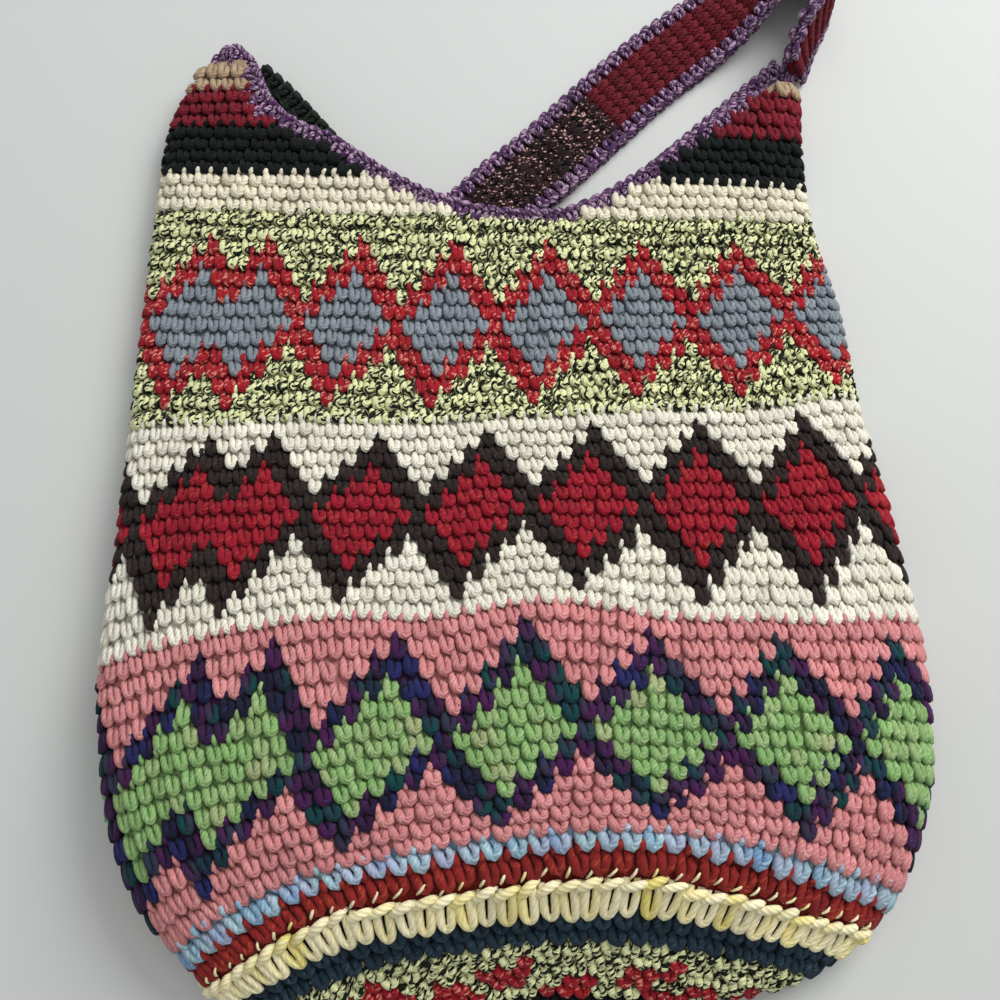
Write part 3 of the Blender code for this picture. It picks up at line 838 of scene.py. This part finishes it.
# Tones that the yarn passes through, the colour of its flecks, the share that they take, their length in
# millimetres, how much yarn, in millimetres, one change of tone takes, how many strands it is spun from, and
# how much more the first strand is flecked
YARNS = {
    "tan": Yarn(("B29A7C", "A48D70"), "C4B398", 0.2, 3, 60),
    "wine": Yarn(("7A1726", "6A1221"), "92333A", 0.15, 3, 60),
    "black": Yarn(("090F0F", "070B0C"), "172120", 0.18, 3, 60),
    "cream": Yarn(("E9E2CB", "E0D9C0"), "EFEADD", 0.2, 4, 60),
    "speckle": Yarn(("E7E9B3", "D9DDA6"), "13170D", 0.34, 2.6, 60, 6, 0.2),
    "leaf_red": Yarn(("A61925", "941623"), "D78375", 0.2, 2, 60),
    "grey_blue": Yarn(("889097", "7D858E"), "9FA5AB", 0.2, 4, 60),
    "white": Yarn(("EBE7D7", "E2DDCB"), "F6F3E6", 0.2, 4, 60),
    "charcoal": Yarn(("2D2320", "241B19"), "4A3D36", 0.18, 3, 60),
    "red": Yarn(("9D182C", "8B1326"), "B64539", 0.22, 3, 60),
    "pink": Yarn(("D58D8D", "CD8383"), "E2A9A6", 0.2, 3, 60),
    "storm": Yarn(("24245A", "10182A", "451748", "0A4040", "191731"), "313264", 0.14, 3, 55),
    "light_green": Yarn(("91AC72", "84AD6A", "A0AA7A"), "B6C898", 0.2, 3, 45),
    "light_blue": Yarn(("8BB0CC", "A6C5CE", "ACB4D0", "7FA5C9"), "C7E0E2", 0.22, 3, 40),
    "red_orange": Yarn(("9B2B26", "8A2423"), "C3533B", 0.2, 3, 60),
    "cream_yellow": Yarn(("FDF0B7", "FFF6CD", "F5E586"), "FFFBD7", 0.2, 4, 30),
    "navy": Yarn(("253846", "1A2B36"), "3F5868", 0.22, 3, 60),
    "base_black": Yarn(("0A0F11", "070B0D"), "172022", 0.2, 3, 60),
    "heather": Yarn(("59385F", "492C53"), "AC8FA7", 0.4, 1.8, 40),
    "strap_wine": Yarn(("6E1625", "5D121D"), "863238", 0.18, 3, 60),
    "strap_dark": Yarn(("2A171A", "1F1112"), "D4A6A2", 0.1, 1.6, 60),
    "strap_green": Yarn(("1E261E", "151B16"), "39453A", 0.18, 3, 60),
}
# Flecks of plain yarns, which are long, are only a lighter fibre
LONG_FLECK = 3.0
FAINT_FLECK = 0.45
# Plies, one turn of them in millimetres, how far they stand out, and the painted shade in the grooves between
# them: the share of the colour that is left there
PLIES = 4
TWIST = 6.5
PLY_HEIGHT = 0.2
PLY_GROOVE_SHADE = 0.88
# Far enough apart in the noise that the flecks of one strand aren't those of the next
STRANDS_APART = 7.31
# How soft a fleck's edge is in the noise, the fibres in a millimetre and in a strand, and their two tones
FLECK_EDGE = 0.03
FIBRE_SCALE = (0.9, 3.0)
WOOLLY = (0.8, 1.2)


def spun_yarn(name, yarn):
    """Worsted acrylic, spun soft and plied: matt and woolly, with shallow grooves between the plies that are
    bumped and darkened with painted shade.
    """
    material = bpy.data.materials.new("worsted_" + name)
    material.use_nodes = True
    tree = material.node_tree
    shader = tree.nodes["Principled BSDF"]
    shader.inputs["Roughness"].default_value = 0.85
    shader.inputs["Specular IOR Level"].default_value = 0.15
    shader.inputs["Sheen Weight"].default_value = 0.04
    shader.inputs["Sheen Roughness"].default_value = 0.6
    uv = node(tree, "UVMap", uv_map="yarn")
    parts = node(tree, "SeparateXYZ", [(0, uv.outputs[0])])
    along, around = parts.outputs[0], parts.outputs[1]
    turned = maths(tree, "MULTIPLY_ADD", along, 1 / TWIST, around)
    ply = maths(tree, "COSINE", maths(tree, "MULTIPLY", turned, math.tau * PLIES))
    # Painted shade: the colour is darkened in the grooves between the plies, where the plies shade each other
    painted_groove_shade = ranged(tree, ply, -1.0, 0.2, PLY_GROOVE_SHADE, 1.0)

    strands = float(yarn.strands)
    strand = maths(tree, "FLOORED_MODULO", maths(tree, "MULTIPLY", turned, strands), strands)
    fibre_at = stretched(tree, along, strand, FIBRE_SCALE)
    fibres = noise(tree, fibre_at, "2D", Detail=3.0, Roughness=0.65)

    slow = noise(tree, maths(tree, "MULTIPLY", along, 1 / yarn.slow), "1D", Detail=1.0)
    tones = node(tree, "ValToRGB", [(0, ranged(tree, slow, 0.28, 0.72, 0.0, 1.0))])
    ramp = tones.color_ramp
    while len(ramp.elements) < len(yarn.tones):
        ramp.elements.new(0.5)
    for k, tone in enumerate(yarn.tones):
        ramp.elements[k].position = k / (len(yarn.tones) - 1)
        ramp.elements[k].color = linear(tone)

    fleck_at = stretched(tree, along, maths(tree, "FLOOR", strand), (1 / yarn.fleck_length, STRANDS_APART))
    fleck = noise(tree, fleck_at, "2D", Detail=1.0)
    frayed = maths(tree, "MULTIPLY_ADD", fibres, 0.1, fleck)
    if yarn.ply:
        frayed = maths(tree, "MULTIPLY_ADD", maths(tree, "LESS_THAN", strand, 1.0), yarn.ply, frayed)
    # The larger the share of flecks, the lower the limit in the noise past which they begin
    limit = 0.55 + (0.5 - yarn.fleck_share) * 0.42
    strength = 1.0 if yarn.fleck_length < LONG_FLECK else FAINT_FLECK
    fleck_share = ranged(tree, frayed, limit - FLECK_EDGE, limit + FLECK_EDGE, 0.0, strength)
    mixed = node(tree, "Mix", [("Factor", fleck_share), ("A", tones.outputs[0]), ("B", linear(yarn.fleck))],
                 data_type="RGBA")
    # The colour's brightness: the painted shade in the ply grooves, the shade attribute (each stitch's own
    # tone, or painted shade on the cloth and the cores), and the fibres' tones
    shade = node(tree, "Attribute", attribute_name="shade")
    tone = maths(tree, "MULTIPLY", painted_groove_shade, shade.outputs["Fac"])
    tone = maths(tree, "MULTIPLY", tone, ranged(tree, fibres, 0.25, 0.75, *WOOLLY))
    toned = node(tree, "VectorMath", [(0, mixed.outputs["Result"]), ("Scale", tone)], operation="SCALE")
    tree.links.new(toned.outputs[0], shader.inputs["Base Color"])

    height = maths(tree, "MULTIPLY_ADD", fibres, 1.1, ply)
    bump = node(tree, "Bump", [("Height", height), ("Distance", PLY_HEIGHT * MM), ("Strength", 0.55)])
    tree.links.new(bump.outputs[0], shader.inputs["Normal"])
    return material


# Painted shade on what lies deep between the loops: the share of its yarn's colour that the cloth behind the
# stitches keeps, and that the cores keep
CLOTH_SHADE = 0.8
CORE_SHADE = 0.45
# How often the yarn's own pattern runs round and down that cloth
CLOTH_RUN = (600.0, 40.0)
# Yarns along the strap, as shares of its length from the left ear, and its hem there
STRAP_GREEN_END = 0.2
STRAP_DARK_END = 0.56
PLAIN_HEM_END = 0.22
SEWN_END = 0.06
# Its loops, in from its edge: the stitches of its middle, the hem's legs and the hem's ridge
HEM_INSET = 6.0
HEM_LEGS_IN = 3.4
HEM_RIDGE_IN = 1.3
# Half the thickness of the cores, how far the strap's lies in from its edge, and half the edgings' width
CORE_THICK = 0.9
CORE_INSET = 1.6
EDGING_CORE = 2.4
# The edging's loops, to the left of the band's middle: legs, second legs at the left tip, and the ridge
LEGS_SIDE = -0.6
TIP_LEGS_SIDE = -4.6
RIDGE_SIDE = 2.0


def strap_yarn(share):
    """The yarn of the strap's middle."""
    if share < STRAP_GREEN_END:
        return "strap_green"
    return "strap_dark" if share < STRAP_DARK_END else "strap_wine"


class State:
    """What the operators share."""
    surface = None
    yarns = {}


def finish_piece(piece, slot, *nodes):
    """The piece rides on the bag and stands for the nodes given."""
    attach(piece, "root")
    if nodes:
        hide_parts(*nodes)


class BagSizes(bpy.types.PropertyGroup):
    """Sizes and tones that a user would change."""
    floor_size: FloatProperty(name="Floor", description="Side of the pale floor", default=6.0, unit="LENGTH")
    lens: FloatProperty(name="Lens", description="Focal length of the camera in millimetres", default=41.4)
    distance: FloatProperty(name="Distance", description="From the camera to the table",
                            default=0.446, unit="LENGTH")
    tilt: FloatProperty(name="Tilt", description="Of the camera off the vertical",
                        default=math.radians(11), subtype="ANGLE")
    roll: FloatProperty(name="Roll", description="Of the camera", default=math.radians(3.2), subtype="ANGLE")
    edging_stitch: FloatProperty(name="Edging stitch", description="Length of one edging stitch in mm",
                                 default=5.4)
    strap_columns: IntProperty(name="Strap columns", description="Stitches across the strap", default=5)
    floor_colour: FloatVectorProperty(name="Floor colour", description="Pale table", subtype="COLOR",
                                      size=4, default=linear("CBCDCA"), min=0, max=1)


class BAG_OT_yarns(bpy.types.Operator):
    """Spins the yarns that all pieces are worked in"""
    bl_idname = "bag.yarns"
    bl_label = "Yarns"

    def execute(self, context):
        State.surface = BagSurface()
        settle(State.surface)
        for name, yarn in YARNS.items():
            State.yarns[name] = spun_yarn(name, yarn)
        return {"FINISHED"}


class BAG_OT_cloth(bpy.types.Operator):
    """The closed cloth behind the stitches, from the mouth round the body and the base"""
    bl_idname = "bag.cloth"
    bl_label = "Cloth"

    columns: IntProperty(name="Columns", description="Facets round the bag", default=2 * WALL_STITCHES)
    outer: FloatProperty(name="Outer depth", description="Under the stitches' surface in mm", default=0.9)

    def execute(self, context):
        surface = State.surface
        bpy.ops.object.select_all(action="DESELECT")
        steps_down = 2 * (LAST_ROW - TOP_ROW)
        bpy.ops.mesh.primitive_grid_add(x_subdivisions=self.columns, y_subdivisions=steps_down, size=1)
        cloth = context.object
        cloth.name = "body_cloth"
        mesh = cloth.data
        flat = read_all(mesh.vertices, "co", 3) + 0.5
        share, row = flat[:, 0], LAST_ROW - flat[:, 1] * (LAST_ROW - TOP_ROW)
        # Halving finds the row at which each column of the cloth meets the edging
        low, high = np.full(len(row), float(TOP_ROW)), np.full(len(row), float(BASE_ROW))
        for halving in range(20):
            middle = (low + high) / 2
            inside = below_mouth(surface.at(middle, share), share) > 0.4
            low, high = np.where(inside, low, middle), np.where(inside, middle, high)
        calm = SPECKLE_ROW + 6
        warped = np.where(row < calm, high + (calm - high) * (row - TOP_ROW) / (calm - TOP_ROW), row)
        places = surface.at(warped, share, np.full(len(row), -self.outer))
        mesh.vertices.foreach_set("co", (to_frame(places) * MM).ravel())
        names = sorted(YARNS)
        for name in names:
            mesh.materials.append(State.yarns[name])
        for face in mesh.polygons:
            corners = list(face.vertices)
            middle_row = warped[corners].mean()
            # Behind a row's lower half lies the yarn of the row below, and at the ridge that of the row above
            ahead = -0.3 if abs(middle_row - BASE_ROW) < 0.6 else 0.5
            at_row = int(np.clip(middle_row + ahead, TOP_ROW, LAST_ROW - 1))
            near = share[corners].mean()
            count = stitches_in(at_row)
            tries = np.arange(count) - count // 2
            off = np.abs(share_between(warp(at_row, (tries + lean_at(at_row)) / count), near))
            column = tries[off.argmin():off.argmin() + 1]
            face.material_index = names.index(yarns_of(at_row, column, count)[0])
        close_up(merge=0.02 * MM)
        wall = cloth.modifiers.new("wall", "SOLIDIFY")
        wall.thickness = (WALL - self.outer) * MM
        wall.offset = -1
        bpy.ops.object.modifier_apply(modifier="wall")
        bpy.ops.object.shade_smooth()
        layer = mesh.uv_layers.active
        layer.name = "yarn"
        layer.data.foreach_set("uv", (read_all(layer.data, "uv", 2) * CLOTH_RUN).ravel())
        # Painted shade: the cloth behind the stitches is darkened, as it lies deep between the loops
        add_shade(mesh, CLOTH_SHADE)
        finish_piece(cloth, "body_yarn", "bag_body")
        return {"FINISHED"}


class BAG_OT_wall_rows(bpy.types.Operator):
    """The stitches of the ears and of the three bands of diamonds"""
    bl_idname = "bag.wall_rows"
    bl_label = "Wall rows"

    def execute(self, context):
        loop = stitch_loop()
        bands = (("ear_rows", range(TOP_ROW, SPECKLE_ROW)), ("upper_band", range(SPECKLE_ROW, WHITE_ROW)),
                 ("middle_band", range(WHITE_ROW, PINK_ROW)), ("lower_band", range(PINK_ROW, BLUE_ROW)))
        for number, (name, rows) in enumerate(bands):
            room = 2.6 if number < 2 else None
            piece = rows_piece(name, State.surface, rows, loop, State.yarns, number, least_room=room)
            finish_piece(piece, "body_yarn")
        teeth = rows_piece("border_teeth", State.surface, range(WINE_ROW, BASE_ROW), tooth(), State.yarns, 12,
                           least_room=6.0, at_change=True)
        finish_piece(teeth, "body_yarn")
        return {"FINISHED"}


class BAG_OT_base_rows(bpy.types.Operator):
    """The two rows above the base, the ridge at its turn and the rounds of the base"""
    bl_idname = "bag.base_rows"
    bl_label = "Base rows"

    def execute(self, context):
        loop, ridge_row = stitch_loop(), range(BASE_ROW, NAVY_ROW)
        # Each piece's name, rows, loop and seed, how far over the cloth it lies and how far up in its row
        pieces = (
            ("turn_rows", range(BLUE_ROW, BASE_ROW), loop, 5, 0.0, 0.0),
            ("base_loops", ridge_row, open_loop(), 6, 0.7, -0.2),
            ("base_ridge", ridge_row, chain_link(), 7, 1.5, 0.28),
            ("base_spikes", ridge_row, spike(), 9, 1.2, 0.8),
            ("base_rounds", range(NAVY_ROW, LAST_ROW), loop, 8, 0.0, 0.0),
        )
        for name, rows, one, seed, lift, rise in pieces:
            piece = rows_piece(name, State.surface, rows, one, State.yarns, seed, lift, rise)
            finish_piece(piece, "body_yarn")
        return {"FINISHED"}


class BAG_OT_edgings(bpy.types.Operator):
    """The purple edging along the front and the back of the mouth"""
    bl_idname = "bag.edgings"
    bl_label = "Edgings"

    def execute(self, context):
        step = context.scene.bag.edging_stitch
        legs, link = edging_leg(), chain_link(0.82)
        edges = (("front_mouth_edging", FRONT_MOUTH + FRONT_RUN_ON, "front_edging"),
                 ("back_mouth_edging", BACK_MOUTH + BACK_RUN_ON, "back_edging"))
        for number, (name, points, solid) in enumerate(edges):
            on_front = number == 0
            band = band_of_edging(State.surface, points, on_front)
            count = round((band.run[-1] - step) / step)
            stitches, links = [], []
            for k in range(count):
                along = step * (k + 0.8)
                at_tip = np.interp(along, band.run, band.middle[:, 0]) < LEFT_TIP_X
                for face in (1, -1):
                    stitches.append(Spot(along, LEGS_SIDE, 1.0 * face, 0.0, face, "heather"))
                    links.append(Spot(along, RIDGE_SIDE, 0.9 * face, 0.0, face, "heather"))
                if on_front and at_tip:
                    stitches.append(Spot(along, TIP_LEGS_SIDE, 1.0, 0.0, 1, "heather"))
            piece = band_piece(name, band, [(legs, stitches), (link, links)], State.yarns, 20 + number)
            finish_piece(piece, "edging_yarn", solid)
        return {"FINISHED"}


class BAG_OT_strap(bpy.types.Operator):
    """The strap: short rows across its middle, with a purple hem along both edges"""
    bl_idname = "bag.strap"
    bl_label = "Strap"

    def execute(self, context):
        band, width = band_of_strap()
        columns = context.scene.bag.strap_columns
        stitch, legs, link = stitch_loop(), edging_leg(), chain_link(0.82)
        length = band.run[-1]
        rows = int(length / STRAP_ROW)
        core, hems, ridges = [], [], []
        for k in range(rows):
            along = STRAP_ROW * (k + 0.5)
            half = float(np.interp(along, band.run, width))
            inner = max(half - HEM_INSET, 2.0)
            share = along / length
            size = 2 * inner / columns / NOMINAL_STITCH
            for column in range(columns):
                side = inner * (2 * (column + 0.5) / columns - 1)
                yarn = "heather" if share < SEWN_END and side < 0 else strap_yarn(share)
                for face in (1, -1):
                    core.append(Spot(along, side, 0.9 * face, math.pi / 2, face, yarn, size))
            for edge in (1, -1):
                plain = share < PLAIN_HEM_END and (edge > 0 or share > SEWN_END)
                hem_yarn = "strap_green" if plain else "heather"
                for face in (1, -1):
                    turn = 0.0 if edge * face > 0 else math.pi
                    hems.append(Spot(along, edge * (half - HEM_LEGS_IN), 1.1 * face, turn, face, hem_yarn))
                    ridges.append(Spot(along, edge * (half - HEM_RIDGE_IN), 0.8 * face, turn, face, hem_yarn))
        spots = [(stitch, core), (legs, hems), (link, ridges)]
        piece = band_piece("strap_stitches", band, spots, State.yarns, 30)
        finish_piece(piece, "strap_yarn", "strap")
        return {"FINISHED"}


class BAG_OT_strap_core(bpy.types.Operator):
    """The cloth between the two faces of the strap and of the edgings"""
    bl_idname = "bag.strap_core"
    bl_label = "Strap core"

    def execute(self, context):
        band, width = band_of_strap()
        strap_tones = ("strap_green", "strap_dark", "strap_wine")
        jobs = [("strap_core", band, width - CORE_INSET, strap_tones, "strap_yarn")]
        for name, points in (("front_edging_core", FRONT_MOUTH), ("back_edging_core", BACK_MOUTH)):
            edge = band_of_edging(State.surface, points, points is FRONT_MOUTH)
            jobs.append((name, edge, np.full(len(edge.run), EDGING_CORE), ("heather",), "edging_yarn"))
        for name, strip, half, tones, slot in jobs:
            keep = np.arange(2, len(strip.run) - 3, 2)
            section = ((1, 0), (0.8, 1), (-0.8, 1), (-1, 0), (-0.8, -1), (0.8, -1))
            rings = [strip.at(strip.run[keep], half[keep] * side, np.full(len(keep), over * CORE_THICK))
                     for side, over in section]
            places = np.stack(rings, axis=1)
            count, sides = places.shape[:2]
            faces = []
            for k in range(count - 1):
                for i in range(sides):
                    here, after = k * sides + i, k * sides + (i + 1) % sides
                    faces.append((here, after, after + sides, here + sides))
            faces += [tuple(range(sides))[::-1], tuple((count - 1) * sides + i for i in range(sides))]
            mesh = bpy.data.meshes.new(name)
            mesh.from_pydata((to_frame(places.reshape(-1, 3)) * MM).tolist(), [], faces)
            for tone in tones:
                mesh.materials.append(State.yarns[tone])
            if len(tones) > 1:
                for face in mesh.polygons:
                    share = face.vertices[0] // sides / count
                    face.material_index = tones.index(strap_yarn(share))
            layer = mesh.uv_layers.new(name="yarn")
            layer.data.foreach_set("uv", np.zeros(len(mesh.loops) * 2, np.float32))
            # Painted shade: the cores, seen only deep between the loops, are darkened
            add_shade(mesh, CORE_SHADE)
            piece = bpy.data.objects.new(name, mesh)
            context.collection.objects.link(piece)
            bpy.ops.object.select_all(action="DESELECT")
            piece.select_set(True)
            context.view_layer.objects.active = piece
            close_up()
            finish_piece(piece, slot)
        return {"FINISHED"}


# Each light's name, its place from the bag's middle and its side in metres, and its power in watts
LIGHTS = (("window", (0.9, 0.9, 1.05), 0.9, 22.5), ("ceiling", (0.1, 0.3, 1.6), 1.6, 6.9))
# What the room gives from all sides
ROOM_COLOUR = "EEF0F2"
ROOM_LIGHT = 0.42


class BAG_OT_stage(bpy.types.Operator):
    """The pale table, soft light from the right and the camera over the bag"""
    bl_idname = "bag.stage"
    bl_label = "Stage"

    def execute(self, context):
        sizes = context.scene.bag
        bpy.ops.mesh.primitive_plane_add(size=sizes.floor_size)
        floor = context.object
        floor.name = "table"
        paint = bpy.data.materials.new("white_laminate")
        paint.use_nodes = True
        shader = paint.node_tree.nodes["Principled BSDF"]
        shader.inputs["Base Color"].default_value = sizes.floor_colour
        shader.inputs["Roughness"].default_value = 0.6
        floor.data.materials.append(paint)
        look = Vector(to_frame(np.zeros(3)) * MM)
        for name, place, size, power in LIGHTS:
            bpy.ops.object.light_add(type="AREA", location=look + Vector(place))
            light = context.object
            light.name = name
            light.data.size = size
            light.data.energy = power
            light.rotation_euler = (look - light.location).to_track_quat("-Z", "Y").to_euler()
        world = bpy.data.worlds.new("room")
        world.use_nodes = True
        light = world.node_tree.nodes["Background"]
        light.inputs["Color"].default_value = linear(ROOM_COLOUR)
        light.inputs["Strength"].default_value = ROOM_LIGHT
        context.scene.world = world
        context.scene.view_settings.view_transform = "Standard"
        turn = Matrix.Rotation(sizes.tilt, 4, "X") @ Matrix.Rotation(-sizes.roll, 4, "Z")
        back = Vector((0, -math.sin(sizes.tilt), math.cos(sizes.tilt))) * sizes.distance
        bpy.ops.object.camera_add()
        camera = context.object
        camera.matrix_world = Matrix.Translation(look + back) @ turn
        camera.data.sensor_width = 36
        camera.data.lens = sizes.lens
        camera.data.clip_start = 0.01
        context.scene.camera = camera
        return {"FINISHED"}


class BAG_PT_panel(bpy.types.Panel):
    """Lists the steps that make the bag"""
    bl_label = "Crocheted bag"
    bl_space_type = "VIEW_3D"
    bl_region_type = "UI"
    bl_category = "Bag"

    def draw(self, context):
        for step in STEPS_OF_WORK:
            self.layout.operator(step.bl_idname)
        for key in BagSizes.__annotations__:
            self.layout.prop(context.scene.bag, key)


STEPS_OF_WORK = (BAG_OT_yarns, BAG_OT_cloth, BAG_OT_wall_rows, BAG_OT_base_rows, BAG_OT_edgings, BAG_OT_strap,
                 BAG_OT_strap_core, BAG_OT_stage)
CLASSES = (BagSizes, BAG_PT_panel) + STEPS_OF_WORK


def register():
    for one in CLASSES:
        bpy.utils.register_class(one)
    bpy.types.Scene.bag = PointerProperty(type=BagSizes)


def unregister():
    del bpy.types.Scene.bag
    for one in reversed(CLASSES):
        bpy.utils.unregister_class(one)


def main():
    register()
    bpy.ops.object.select_all(action="DESELECT")
    for step in ("yarns", "cloth", "wall_rows", "base_rows", "edgings", "strap", "strap_core", "stage"):
        getattr(bpy.ops.bag, step)()


if __name__ == "__main__":
    main()
